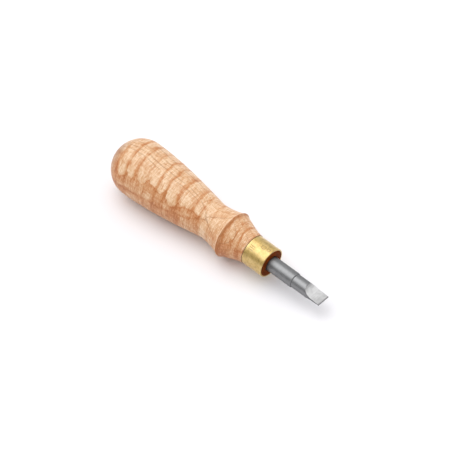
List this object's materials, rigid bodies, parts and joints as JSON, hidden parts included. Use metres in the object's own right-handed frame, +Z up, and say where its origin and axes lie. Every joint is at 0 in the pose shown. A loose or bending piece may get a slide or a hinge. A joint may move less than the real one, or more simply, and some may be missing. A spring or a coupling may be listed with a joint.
{
  "type": "lino cutter",
  "caption": "Lino cutter with a pear-shaped turned wooden handle, brass ferrule, dark mouth bush and a round steel shank ending in a flat, hollow-ground, square-ended blade.",
  "frame": {"origin": "middle of the footprint on the surface that the tool lies on, at the height of that surface", "axes": "+X along the tool towards the blade as seen from above, +Z up, +Y to the left when looking along +X; the tool's own axis dips 2.67 degrees below +X, because it lies on its belly and on the ridge in front of the neck"},
  "size_m": [0.1378, 0.0308, 0.031],
  "materials": {
    "maple": "figured maple with cross curl, oiled satin",
    "brass": "brushed round the tube",
    "dark_wood": "dark red-brown end grain, satin",
    "shank_steel": "satin grey, turned",
    "blade_steel": "ground, grinding lines across the hollow",
    "epoxy": "cured amber glue"
  },
  "bodies": {
    "root": {"handle": "maple", "ferrule": "brass", "mouth_bush": "dark_wood", "shank": "shank_steel", "blade": "blade_steel", "tang_epoxy": "epoxy"}
  },
  "joints": []
}
